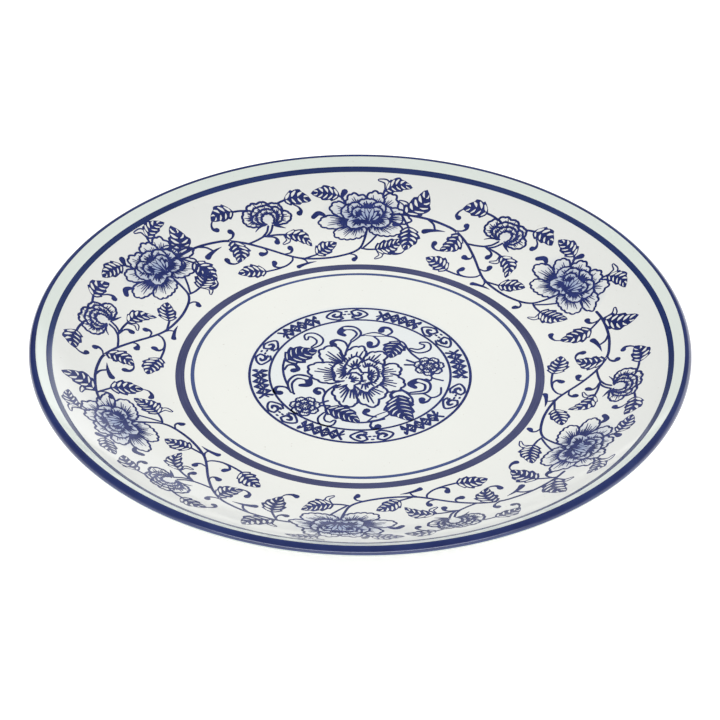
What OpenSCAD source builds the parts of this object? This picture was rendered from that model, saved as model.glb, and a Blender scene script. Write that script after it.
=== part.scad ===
// China serving platter: a round porcelain dish with a foot ring, a clear glaze coat,
// painted bands and transfer-printed blue decoration. Millimetres, +Z up.
// The origin is the middle of the foot ring's base, on the surface that it stands on.

/* [Plate] */
// Diameter over the lip
plate_d = 260; // [235:1:300]
// Diameter of the flat food floor
floor_d = 135; // [125:1:136]
// Radius of the wall's cross-section, from the floor up to the lip
wall_arc_r = 105.8; // [102:0.2:125]
// Thickness of the wall and of its rounded lip
lip_t = 4.2; // [3.6:0.1:5]
// Thickness of the middle of the plate
base_t = 4.8; // [4.4:0.1:6]

/* [Foot ring] */
// Outer diameter of the foot ring where it stands
foot_d = 146; // [140:1:148]
// Width of the foot ring's resting face
foot_w = 3; // [2:0.5:5]
// Height of the foot ring under the middle of the plate
foot_h = 3.8; // [3:0.1:6]
// Height of the bare band that is wiped free of glaze at the foot
bare_h = 1; // [0.6:0.1:1.6]

/* [Glaze and paint] */
// Thickness of the glaze coat
glaze_t = 0.3; // [0.2:0.05:0.5]
// Thickness of the painted bands, sunk in the glaze, and of the prints that lie on it
ink_t = 0.2; // [0.15:0.05:0.3]
// Middle radius and width of the line below the lip
rim_line = [122.1, 2.2];
// Middle radius and width of the wide band where the wall starts
verge_band = [71.4, 3.6];
// Middle radius and width of the thin line inside that band
verge_line = [66.4, 1.5];
// Middle radius and width of the medallion's outer line
medallion_outer = [43.8, 1.1];
// Middle radius and width of the medallion's inner line
medallion_inner = [35.9, 1];
// Where the medallion's middle was laid along Y, off the plate's own middle
medallion_y = -1.5; // [-3:0.5:3]
// Angle below level at which the lip's paint ends on the outside
edge_drop = 8; // [2:1:20]

/* [Garlands] */
// Directions of the six garland flowers, clockwise from +Y, as a decorator sets them by eye
garland_turns = [1, 58.5, 122, 183.5, 246, 306];
// Width of the vine
vine_w = 0.9; // [0.7:0.1:1.4]
// Width of the leaf stems
stem_w = 0.8; // [0.6:0.1:1.2]

/* [Hidden] */
$fn = 96;

clay_colour = [0.87, 0.83, 0.76];
glaze_colour = [0.93, 0.94, 0.92];
cobalt_colour = [0.13, 0.19, 0.47];
verge_colour = [0.25, 0.24, 0.44];

plate_r = plate_d / 2;
floor_r = floor_d / 2;
floor_z = foot_h + base_t;
arc_z = floor_z + wall_arc_r;
lip_r = lip_t / 2;
// Direction from the wall's arc centre to the lip, measured from straight down
lip_turn = asin((plate_r - lip_r - floor_r) / (wall_arc_r + lip_r));
lip_centre = [plate_r - lip_r, arc_z - (wall_arc_r + lip_r) * cos(lip_turn)];
foot_r = foot_d / 2;
PAINTED_LINES = [rim_line, verge_band, verge_line];
// How far the foot's sides lean away from its resting face over the foot's height
foot_lean = 1.2;
// How far the foot runs up into the wall, so that the two are one piece
foot_root = 2;
foot_chamfer = 0.4;
far = 2 * plate_d;
// How far a print's edges spread as it is fired, which joins its stems, leaves and petals
ink_spread = 0.03;

// Place in plan of a point given by its clockwise angle from +Y and its distance from the middle
function at(p) = [p[1] * sin(p[0]), p[1] * cos(p[0])];

// Points of a leaf outline, [0, 0] to [length, 0], with its widest place nearer the stem
function leaf_points(length, width) =
    let (steps = 8)
    [for (i = [0 : 2 * steps - 1])
        let (s = i <= steps ? i / steps : 2 - i / steps, side = i <= steps ? 1 : -1)
        [length * s, side * width / 2 * sin(180 * pow(s, 0.8))]];

// Point at fraction t between b and c on the smooth curve through a, b, c and d
function smooth(a, b, c, d, t) =
    0.5 * (2 * b + (c - a) * t + (2 * a - 5 * b + 4 * c - d) * t * t
    + (3 * b - a - 3 * c + d) * t * t * t);

// A list of points with extra points on a smooth curve between them
function smooth_path(pts, steps) =
    let (last = len(pts) - 1)
    [for (i = [0 : last - 1], k = [0 : steps - 1])
        smooth(pts[max(i - 1, 0)], pts[i], pts[i + 1], pts[min(i + 2, last)], k / steps),
     pts[last]];

// Unit vector to the left of the path at point i
function left_of(pts, i) =
    let (d = pts[min(i + 1, len(pts) - 1)] - pts[max(i - 1, 0)])
    [-d[1], d[0]] / norm(d);

// ---- Sections, in the plane of radius and height ----

// Everything above the food side, with its surface moved down by inset
module food_space(inset) {
    translate([0, floor_z - inset]) square([floor_r, far]);
    translate([floor_r, arc_z]) circle(r = wall_arc_r + inset);
}

// The foot ring: sides moved in by inset, the resting face always on the ground
module foot_section(inset) {
    top = foot_h + foot_root;
    lean = foot_lean * top / foot_h;
    polygon([
        [foot_r - foot_w - lean + inset, top],
        [foot_r - foot_w - foot_chamfer + inset, foot_chamfer],
        [foot_r - foot_w + inset, 0],
        [foot_r - inset, 0],
        [foot_r + foot_chamfer - inset, foot_chamfer],
        [foot_r + lean - inset, top]
    ]);
}

// The wall from under the floor's edge to the lip's centre
module wall_section(inset) {
    intersection() {
        translate([floor_r, arc_z]) circle(r = wall_arc_r + lip_t - inset);
        polygon([
            [floor_r, arc_z],
            [floor_r, 0],
            [floor_r + far * tan(lip_turn), arc_z - far]
        ]);
    }
}

// Half the plate's section, with every glazed surface moved in by inset
module plate_section(inset) {
    difference() {
        union() {
            translate([0, foot_h + inset]) square([foot_r - foot_w / 2, base_t]);
            foot_section(inset);
            wall_section(inset);
        }
        food_space(inset);
    }
    translate(lip_centre) circle(r = lip_r - inset);
}

// A layer of the food side between two radii, from low to high above the surface
module layer_section(middle, width, low, high) {
    intersection() {
        translate([middle - width / 2, foot_h]) square([width, wall_arc_r]);
        difference() {
            food_space(-low);
            food_space(-high);
        }
    }
}

// A painted line's section, sunk flush into the glaze
module line_section(line) {
    layer_section(line[0], line[1], -ink_t, 0);
}

// The space in the glaze that the paint over the top of the lip fills
module edge_space() {
    reach = 2 * lip_t;
    translate(lip_centre)
    difference() {
        polygon([
            [0, 0],
            [reach * cos(edge_drop), -reach * sin(edge_drop)],
            [reach, reach],
            [-reach * sin(lip_turn), reach * cos(lip_turn)]
        ]);
        circle(r = lip_r - ink_t);
    }
}

// The section of that paint, made of many short flats round the lip
module edge_section() {
    facet = 9;
    turns = concat(
        [-edge_drop],
        [for (turn = [0 : facet : 90]) turn],
        [for (i = [1 : 4]) 90 + lip_turn * i / 4]
    );
    translate(lip_centre)
    polygon(concat(
        [for (turn = turns) lip_r * [cos(turn), sin(turn)]],
        [for (i = [len(turns) - 1 : -1 : 0])
            (lip_r - ink_t) / cos(facet / 2) * [cos(turns[i]), sin(turns[i])]]
    ));
}

// ---- Outlines of the printed decoration, in plan ----

// A band of constant width along a smooth path, pointed at its far end
module ribbon(points, width) {
    pts = smooth_path([for (p = points) at(p)], 4);
    last = len(pts) - 1;
    polygon(concat(
        [for (i = [0 : last - 1]) pts[i] + left_of(pts, i) * width / 2],
        [pts[last]],
        [for (i = [last - 1 : -1 : 0]) pts[i] - left_of(pts, i) * width / 2]
    ));
}

// A flower outline with rounded petals, its radial size by its size across
module blossom(across, along, petals) {
    points = 6 * petals;
    polygon([for (i = [0 : points - 1])
        let (a = 360 * i / points, lobe = 1 - 0.16 * pow(abs(cos(petals * a / 2)), 3))
        [across / 2 * lobe * cos(a), along / 2 * lobe * sin(a)]]);
}

module leaf(place, turn, length, width) {
    translate(at(place)) rotate(turn - place[0]) polygon(leaf_points(length, width));
}

// A stem from a place on the vine to a leaf's root, with the leaf on it
module leaf_on_stem(vine_place, root, turn, length, width) {
    ribbon([vine_place, [(vine_place[0] + root[0]) / 2, (vine_place[1] + root[1]) / 2 + 0.4], root], stem_w);
    translate(at(root)) circle(d = 1.5 * stem_w, $fn = 16);
    leaf(root, turn, length, width);
}

// One garland: the peony in direction 0, and the vine that runs to it from the one before
module garland_outline() {
    ribbon([[-50, 101], [-45, 101], [-40, 99.8], [-35, 97], [-30, 92.5], [-25.5, 87.5], [-21, 81],
            [-16.5, 77.6], [-11.5, 77.4], [-6.5, 78.8], [-2, 82], [0.5, 88], [1.5, 94]], vine_w);
    translate(at([0.4, 102.4])) blossom(39, 26, 9);
    translate(at([-23.3, 104.4])) rotate(23.3) blossom(20, 13, 8);
    // The small flower's stalk and its two side sprigs
    ribbon([[-31, 93.6], [-26, 95.5], [-24.3, 98.5], [-24, 101]], stem_w);
    leaf_on_stem([-27.5, 106], [-30.5, 108.4], 175, 9, 5);
    leaf_on_stem([-19.5, 106], [-18, 109], 25, 9, 5);
    // Leaves at the start of the vine
    leaf_on_stem([-46, 101], [-46.3, 103.5], 62, 9.5, 6);
    leaf_on_stem([-47.5, 101], [-47, 95.5], -84, 11, 6);
    // Leaves along the vine
    leaf_on_stem([-36.5, 98], [-35.2, 95], -60, 8, 6.5);
    leaf_on_stem([-27.5, 90], [-20.5, 93], -22, 11, 6);
    leaf_on_stem([-20, 79.8], [-30, 76.8], 170, 10.5, 5.5);
    leaf_on_stem([-15, 77.5], [-12.5, 80.8], 33, 9.5, 5);
    leaf_on_stem([-0.5, 84.5], [4, 83.2], 15, 11, 6.5);
    // Leaves beside the peony
    leaf_on_stem([-5, 107.5], [-6.5, 110.5], 160, 8.5, 5);
    leaf_on_stem([3, 112], [3.8, 114.3], 30, 8, 5.5);
}

// A garland's print: its outline, on the curved wall
module garland(turn) {
    color(cobalt_colour)
    intersection() {
        translate([0, 0, foot_h])
        rotate(-turn)
        linear_extrude(lip_centre[1])
        offset(delta = ink_spread)
        garland_outline();
        rotate_extrude() layer_section((floor_r + plate_r) / 2, plate_r - floor_r - 2 * lip_r, 0, ink_t);
    }
}

// One of the border's scroll motifs, with its outer side up
module scroll_motif() {
    difference() {
        blossom(10, 4.6, 6);
        for (side = [-1, 1]) translate([side * 2.2, -0.2]) circle(d = 1.9, $fn = 16);
    }
}

// One of the border's leafy motifs
module spray_motif() {
    blossom(3.4, 3.4, 5);
    for (side = [-1, 1]) {
        rotate(90 - 90 * side) polygon(leaf_points(6, 2.6));
        rotate(90 - 60 * side) translate([0.5, 0]) polygon(leaf_points(3, 1.4));
    }
}

// ---- Sub-parts ----

// The fired clay body: floor, wall, lip and foot ring in one piece
module porcelain_body() {
    color(clay_colour)
    rotate_extrude() plate_section(glaze_t);
}

// The clear glaze that covers the body, apart from the bare band at the foot
module glaze_coat() {
    color(glaze_colour)
    rotate_extrude()
    difference() {
        plate_section(0);
        plate_section(glaze_t);
        square([far, bare_h]);
        edge_space();
        for (line = PAINTED_LINES) line_section(line);
    }
}

// The blue band over the top of the lip
module edge_band() {
    color(cobalt_colour)
    rotate_extrude() edge_section();
}

module rim_line() {
    color(cobalt_colour) rotate_extrude() line_section(rim_line);
}

module verge_band() {
    color(verge_colour) rotate_extrude() line_section(verge_band);
}

module verge_line() {
    color(cobalt_colour) rotate_extrude() line_section(verge_line);
}

// A printed ring of the medallion, which lies on the glaze
module medallion_ring(line) {
    color(cobalt_colour)
    translate([0, medallion_y, floor_z])
    linear_extrude(ink_t)
    difference() {
        circle(r = line[0] + line[1] / 2);
        circle(r = line[0] - line[1] / 2);
    }
}

module medallion_outer_line() {
    medallion_ring(medallion_outer);
}

module medallion_inner_line() {
    medallion_ring(medallion_inner);
}

// Twelve motifs between the medallion's two lines, scrolls and sprays in turn
module medallion_border() {
    border_r = (medallion_outer[0] + medallion_inner[0]) / 2;
    color(cobalt_colour)
    translate([0, medallion_y, floor_z])
    linear_extrude(ink_t)
    offset(delta = ink_spread)
    for (i = [0 : 5]) {
        rotate(60 * i + 8) translate([0, border_r]) scroll_motif();
        rotate(60 * i + 38) translate([0, border_r]) spray_motif();
    }
}

// The flower in the middle of the medallion, with the vine that circles it
module medallion_flower() {
    color(cobalt_colour)
    translate([0, medallion_y, floor_z])
    linear_extrude(ink_t)
    offset(delta = ink_spread) {
        blossom(38, 38, 9);
        difference() {
            circle(r = 27.5);
            circle(r = 27.5 - vine_w);
        }
        for (i = [0 : 5]) {
            rotate(60 * i) translate([0, 18]) rotate(90) polygon([[-2, -0.5], [9, -0.4], [9, 0.4], [-2, 0.5]]);
            rotate(60 * i + 20) translate([0, 27]) rotate(150) polygon(leaf_points(8, 4.6));
            rotate(60 * i + 44) translate([0, 27]) rotate(-60) polygon(leaf_points(7, 4));
        }
    }
}

porcelain_body();
glaze_coat();
edge_band();
rim_line();
verge_band();
verge_line();
medallion_outer_line();
medallion_inner_line();
medallion_border();
medallion_flower();
for (i = [1 : 6]) garland(garland_turns[i - 1]);
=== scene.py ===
"""China serving platter: the looks of a round porcelain dish with painted bands and printed flowers.

All shapes are worked out in millimetres, in the frame of the CAD model: +Z up, the origin in the middle
of the foot ring's base. The prints are drawn flat, as ink shapes laid over one another, and then wrapped
on to the dish. Mesh code turns millimetres into metres at the very end. Materials, lamps, the camera and
the stage are in metres.
"""
import math

import bpy
from mathutils import Matrix, Vector
from mathutils.geometry import delaunay_2d_cdt


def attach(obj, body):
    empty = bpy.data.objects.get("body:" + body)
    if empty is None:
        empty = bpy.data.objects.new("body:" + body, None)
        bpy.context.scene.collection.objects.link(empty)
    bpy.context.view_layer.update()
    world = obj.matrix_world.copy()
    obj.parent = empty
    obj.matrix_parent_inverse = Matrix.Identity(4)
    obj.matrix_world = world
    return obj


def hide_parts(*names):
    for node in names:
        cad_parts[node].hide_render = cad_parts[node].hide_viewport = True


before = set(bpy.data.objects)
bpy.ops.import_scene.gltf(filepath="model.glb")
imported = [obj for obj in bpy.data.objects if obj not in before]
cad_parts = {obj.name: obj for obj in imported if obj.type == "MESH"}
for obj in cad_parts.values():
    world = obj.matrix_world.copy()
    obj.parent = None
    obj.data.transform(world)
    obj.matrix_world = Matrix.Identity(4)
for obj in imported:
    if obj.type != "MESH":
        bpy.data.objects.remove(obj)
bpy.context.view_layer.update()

MM = 0.001

# ---- Dimensions of the dish, millimetres ----

PLATE_R = 130.0
FLOOR_R = 67.5
WALL_ARC_R = 105.8
LIP_T = 4.2
LIP_R = LIP_T / 2
BASE_T = 4.8
FOOT_R = 73.0
FOOT_W = 3.0
FOOT_H = 3.8
FOOT_LEAN = 1.2
# How far the sole's two edges stand outside the foot's nominal width
SOLE_EASE = 0.2
BARE_H = 1.0
GLAZE_T = 0.3
FLOOR_Z = FOOT_H + BASE_T
ARC_Z = FLOOR_Z + WALL_ARC_R
LIP_TURN = math.asin((PLATE_R - LIP_R - FLOOR_R) / (WALL_ARC_R + LIP_R))
LIP_CENTRE = (PLATE_R - LIP_R, ARC_Z - (WALL_ARC_R + LIP_R) * math.cos(LIP_TURN))
EDGE_DROP = math.radians(8)
EDGE_TOP = math.radians(110)

# Middle radius and width of each painted line
RIM_LINE = (122.1, 2.2)
VERGE_BAND = (71.4, 3.6)
VERGE_LINE = (66.4, 1.5)
MEDALLION_OUTER = (43.8, 1.1)
MEDALLION_INNER = (35.9, 1.0)

# Where the medallion's middle was laid, off the dish's own middle
MEDALLION_Y = -1.5

# How far paint stands above the glaze and reaches down into it
PAINT_RISE = 0.03
PAINT_SINK = 0.03
# How far the two edges of a painted line wander
UNEVEN = 0.07
# Parts that a turned solid is made of, and the angle from which an edge is shaded sharp
SEGMENTS = 256
SHARP_ANGLE = 40
# Size of the squares that a drawing is sorted into, to find what lies over what
CELL = 0.8
# Points of a drawing that are closer than this count as one, and triangles with less area are left out
SAME_POINT = 1e-4
LEAST_AREA = 1e-5
# A point this close to the line between its neighbours is left out, if that line stays short enough
STRAIGHT = 0.012
LONGEST_SIDE = 2.5
# Thinnest stroke that there is, and the thinnest one with round ends
HAIRLINE = 0.02
ROUND_FROM = 0.25

# Direction of each garland's flower, clockwise from +Y in degrees, and how far out it was laid
GARLANDS = [(1, 0.0), (58.5, 0.0), (122, -1.2), (183.5, 1.4), (246, 0.8), (306, 2.2)]
GARLAND_R = 100.0
# Where the small flower's middle lies in a garland's drawing
SMALL_FLOWER = (-40.6, 6.0)


# ---- Flat drawing ----

def between(a, b, t):
    """The point at fraction t of the way from a to b."""
    return (a[0] + (b[0] - a[0]) * t, a[1] + (b[1] - a[1]) * t)


def polar(centre, radius, degrees):
    """The point at a distance and a direction from a centre."""
    turn = math.radians(degrees)
    return (centre[0] + radius * math.cos(turn), centre[1] + radius * math.sin(turn))


def waver(turn, phase):
    """A slow unevenness of a hand-painted edge, between -1 and 1."""
    return (0.5 * math.sin(3 * turn + phase) + 0.3 * math.sin(7 * turn + 2.3 * phase)
            + 0.2 * math.sin(17 * turn + 4.1 * phase))


def catmull(a, b, c, d, t):
    """The value at fraction t between b and c on the smooth curve through a, b, c and d."""
    square = (2 * a - 5 * b + 4 * c - d) * t * t
    cube = (3 * b - a - 3 * c + d) * t ** 3
    return 0.5 * (2 * b + (c - a) * t + square + cube)


def smooth(points, step=0.45):
    """Extra points on a smooth curve through the given ones; each point is a tuple of numbers."""
    out = []
    last = len(points) - 1
    for i in range(last):
        quad = [points[max(i - 1, 0)], points[i], points[i + 1], points[min(i + 2, last)]]
        count = max(1, round(math.dist(quad[1][:2], quad[2][:2]) / step))
        for k in range(count):
            out.append(tuple(catmull(*axis, k / count) for axis in zip(*quad)))
    out.append(tuple(points[last]))
    return out


def inside(corners, x, y):
    """Whether a point lies in a triangle whose corners run anticlockwise."""
    return all((b[0] - a[0]) * (y - a[1]) >= (b[1] - a[1]) * (x - a[0])
               for a, b in zip(corners, corners[1:] + corners[:1]))


class Drawing:
    """Ink and bare shapes laid over one another in a plane. A later shape hides the ones under it."""

    def __init__(self):
        """Starts with no shapes."""
        self.points = []
        self.faces = []
        self.face_layers = []
        self.layer_is_ink = []

    def _triangle(self, a, b, c):
        """Adds one triangle of the newest shape, its corners put in anticlockwise order."""
        area = (b[0] - a[0]) * (c[1] - a[1]) - (c[0] - a[0]) * (b[1] - a[1])
        if abs(area) < LEAST_AREA:
            return
        first = len(self.points)
        self.points.extend((a, b, c) if area > 0 else (a, c, b))
        self.faces.append([first, first + 1, first + 2])
        self.face_layers.append(len(self.layer_is_ink) - 1)

    def _strip(self, left, right):
        """Adds the triangles between two sides."""
        for i in range(len(left) - 1):
            self._triangle(left[i], right[i], right[i + 1])
            self._triangle(left[i], right[i + 1], left[i + 1])

    def _fan(self, centre, outline):
        """Adds the triangles between a centre and an outline."""
        for a, b in zip(outline, outline[1:]):
            self._triangle(centre, a, b)

    def fan(self, centre, outline, ink):
        """A shape whose whole outline can be seen from its centre; a bare one hides what is under it."""
        self.layer_is_ink.append(ink)
        self._fan(centre, outline)

    def strip(self, left, right, ink):
        """A shape between two sides that have the same number of points."""
        self.layer_is_ink.append(ink)
        self._strip(left, right)

    def brush(self, points, ink=True, step=0.45):
        """A stroke through (x, y, width) points, round at an end that has a width."""
        path = smooth(points, step)
        self.layer_is_ink.append(ink)
        left, right = [], []
        for i, (x, y, width) in enumerate(path):
            before = path[max(i - 1, 0)]
            after = path[min(i + 1, len(path) - 1)]
            dx, dy = after[0] - before[0], after[1] - before[1]
            half = max(width, HAIRLINE) / 2 / (math.hypot(dx, dy) or 1.0)
            left.append((x - dy * half, y + dx * half))
            right.append((x + dy * half, y - dx * half))
        self._strip(left, right)
        for x, y, width in (path[0], path[-1]):
            if width > ROUND_FROM:
                self._fan((x, y), [polar((x, y), width / 2, 45 * k) for k in range(9)])

    def line(self, points, width, ends=1.0):
        """A stroke of one width, narrowed at both ends to a share of it."""
        last = len(points) - 1
        self.brush([(x, y, width * (ends if i in (0, last) else 1.0))
                    for i, (x, y) in enumerate(points)])

    def tendril(self, points, bulb, stem=0.6):
        """A shoot that swells into a round bud at its end."""
        count = len(points) - 1
        widths = [stem + (1.15 * bulb - stem) * (i / count) ** 2 for i in range(count + 1)]
        self.brush([(x, y, w) for (x, y), w in zip(points, widths)], step=0.35)

    def _cells(self):
        """The triangles over each small square of the plane, topmost first."""
        cells = {}
        for face, layer in zip(self.faces, self.face_layers):
            corners = [self.points[i] for i in face]
            columns, rows = ([math.floor(p[axis] / CELL) for p in corners] for axis in (0, 1))
            for column in range(min(columns), max(columns) + 1):
                for row in range(min(rows), max(rows) + 1):
                    cells.setdefault((column, row), []).append((layer, corners))
        for cell in cells.values():
            cell.sort(key=lambda entry: -entry[0])
        return cells

    def _inked(self, points, triangles, cells):
        """The triangles whose topmost shape is ink."""
        kept = []
        for triangle in triangles:
            x = sum(points[i][0] for i in triangle) / 3
            y = sum(points[i][1] for i in triangle) / 3
            here = cells.get((math.floor(x / CELL), math.floor(y / CELL)), ())
            top = next((layer for layer, corners in here if inside(corners, x, y)), None)
            if top is not None and self.layer_is_ink[top]:
                kept.append(tuple(triangle))
        return kept

    def ink(self):
        """The visible ink: points and the triangles between them, no more than its outline needs."""
        cells = self._cells()
        corners = [Vector(p) for p in self.points]
        points, _, triangles, _, _, _ = delaunay_2d_cdt(corners, [], self.faces, 0, SAME_POINT)
        kept = self._inked(points, triangles, cells)
        outline_points, outline_edges = [], []
        for loop in loops_around(kept):
            slim = slimmed([points[i] for i in loop])
            if len(slim) > 2:
                first = len(outline_points)
                outline_points.extend(slim)
                count = len(slim)
                outline_edges.extend((first + k, first + (k + 1) % count) for k in range(count))
        points, _, triangles, _, _, _ = delaunay_2d_cdt(outline_points, outline_edges, [], 0, SAME_POINT)
        return [(p.x, p.y) for p in points], self._inked(points, triangles, cells)


def loops_around(triangles):
    """Closed runs of point numbers along the border of a set of triangles."""
    sides = {(t[k], t[(k + 1) % 3]) for t in triangles for k in range(3)}
    after = {}
    for a, b in sides:
        if (b, a) not in sides:
            after.setdefault(a, []).append(b)
    loops = []
    while after:
        start = next(iter(after))
        loop, here = [], start
        while here in after:
            loop.append(here)
            following = after[here].pop()
            if not after[here]:
                del after[here]
            here = following
        loops.append(loop)
    return loops


def slimmed(loop):
    """A closed outline without the points that lie on, or all but on, the line between their neighbours."""
    kept = [loop[0]]
    skipped = []
    for k in range(1, len(loop)):
        point, following = loop[k], loop[(k + 1) % len(loop)]
        along = following - kept[-1]
        size = max(along.length, 1e-9)
        skipped.append(point)
        off = max(abs(along.cross(p - kept[-1])) / size for p in skipped)
        if off > STRAIGHT or size > LONGEST_SIDE:
            kept.append(point)
            skipped = []
    return kept


# ---- Motifs ----

# Widths of the pen's strokes: a petal's outline, its hatching, the vine and a leaf's stalk
OUTLINE = 0.88
HATCH = 0.54
VINE = 1.15
STEM = 0.96


def scalloped(points, base, depth=0.35, pitch=2.4):
    """A smooth outline with a ruffled edge, its scallops bulging away from the base."""
    path = smooth(points, 0.4)
    length = sum(math.dist(a, b) for a, b in zip(path, path[1:]))
    count = max(1, round(length / pitch))
    out, walked = [], 0.0
    for i, point in enumerate(path):
        walked += math.dist(path[i - 1], point) if i else 0.0
        dip = depth * (1 - abs(math.sin(math.pi * count * walked / length)) ** 0.6)
        out.append(between(point, base, dip / max(math.dist(point, base), 1e-6)))
    return out


def petal(d, base, outline, hatches=8, reach=0.8, depth=0.35, pitch=2.4, heavy=1.0, pen=1.0, clear=0.2,
          blunt=0.45):
    """A petal with a ruffled outline, drawn from side to side, and hatching that fades from its base.

    heavy thickens the hatching, pen thickens all strokes, clear is how far from the base the hatching
    starts, reach is how far out it goes, and blunt is the width that its strokes end with.
    """
    rim = scalloped(outline, base, depth, pitch)
    d.fan(base, rim, ink=False)
    for i in range(hatches):
        share = (i + 0.5) / hatches
        far = rim[round((0.06 + 0.88 * share) * (len(rim) - 1))]
        end = between(base, far, reach * (1.0 - 0.18 * ((i * 3) % 4) / 2))
        width = HATCH * heavy * pen
        d.brush([(*between(base, far, clear), width * 1.05), (*between(base, end, 0.55), width * 1.15),
                 (*end, width * blunt)], step=1.0)
    d.line(rim, OUTLINE * pen, ends=0.7)


def slender(d, base, direction, length, width, ink_share=0.3):
    """One narrow upright petal of a flower's heart."""
    middle = polar(base, length * 0.55, direction)
    tip = polar(base, length, direction)
    d.brush([(*base, width * 0.5), (*middle, width), (*tip, width * 0.45)], step=0.3)
    d.brush([(*base, 0.1), (*between(base, middle, 1 - ink_share), width * 0.3), (*middle, width * 0.62),
             (*between(middle, tip, 0.85), width * 0.3)], ink=False, step=0.3)


def leaf(d, root, tip, width, bend=0.0, teeth=4, slits=5, shade=0, bare=0.48):
    """A dark toothed leaf whose veins show between bare slits.

    bend bows it to its left, shade darkens one half, and bare is the bare share of the space between veins.
    """
    length = math.dist(root, tip)
    along = ((tip[0] - root[0]) / length, (tip[1] - root[1]) / length)
    across = (-along[1], along[0])

    def place(s, side):
        """The point at fraction s of the leaf's length and a share of its half width to one side."""
        bow = bend * math.sin(math.pi * min(s, 1.0))
        out = side * width / 2 * math.sin(math.pi * min(max(s, 0.0), 1.0) ** 0.8) ** 0.8
        return tuple(root[k] + along[k] * length * s + across[k] * (bow + out) for k in (0, 1))

    def margin(side):
        """The toothed edge of one half, from the root to the tip."""
        steps = 5 * teeth
        out = []
        for i in range(steps + 1):
            s = i / steps
            notch = (teeth * s) % 1.0 if i < steps else 0.0
            out.append(place(s, side * (0.86 + 0.28 * notch)))
        return out

    d.strip(margin(1), margin(-1), ink=True)
    gap = length * 0.84 / slits
    for i in range(slits):
        s = 0.05 + 0.84 * (i + 0.15) / slits
        narrowing = 1.0 if i < slits - 1 else 0.75
        for side in (1, -1):
            slit = gap * narrowing * (0.72 * bare if side == shade else bare)
            start = place(s + 0.02, side * 0.14)
            middle = place(s + 0.06, side * 0.42)
            end = place(s + 0.14, side * 0.72)
            d.brush([(*start, slit * 0.3), (*middle, slit), (*end, slit * 0.55)], ink=False, step=0.5)


def hook(d, points, width, pen=1.0):
    """The turned-back flap at a leaf's root: a bare curl between two lines."""
    last = len(points) - 1
    shape = [(x, y, width * (0.6 + 0.5 * math.sin(math.pi * i / last))) for i, (x, y) in enumerate(points)]
    d.brush(shape)
    d.brush([(x, y, max(w - 1.5 * OUTLINE * pen, 0.3)) for x, y, w in shape], ink=False)


def heart(d, base, size):
    """The cluster of slender petals in the middle of a flower."""
    for lean, share in ((146, 0.72), (34, 0.72), (124, 0.85), (58, 0.85), (104, 1.0), (78, 1.0)):
        slender(d, base, lean, size * share, size * 0.34)


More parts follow.
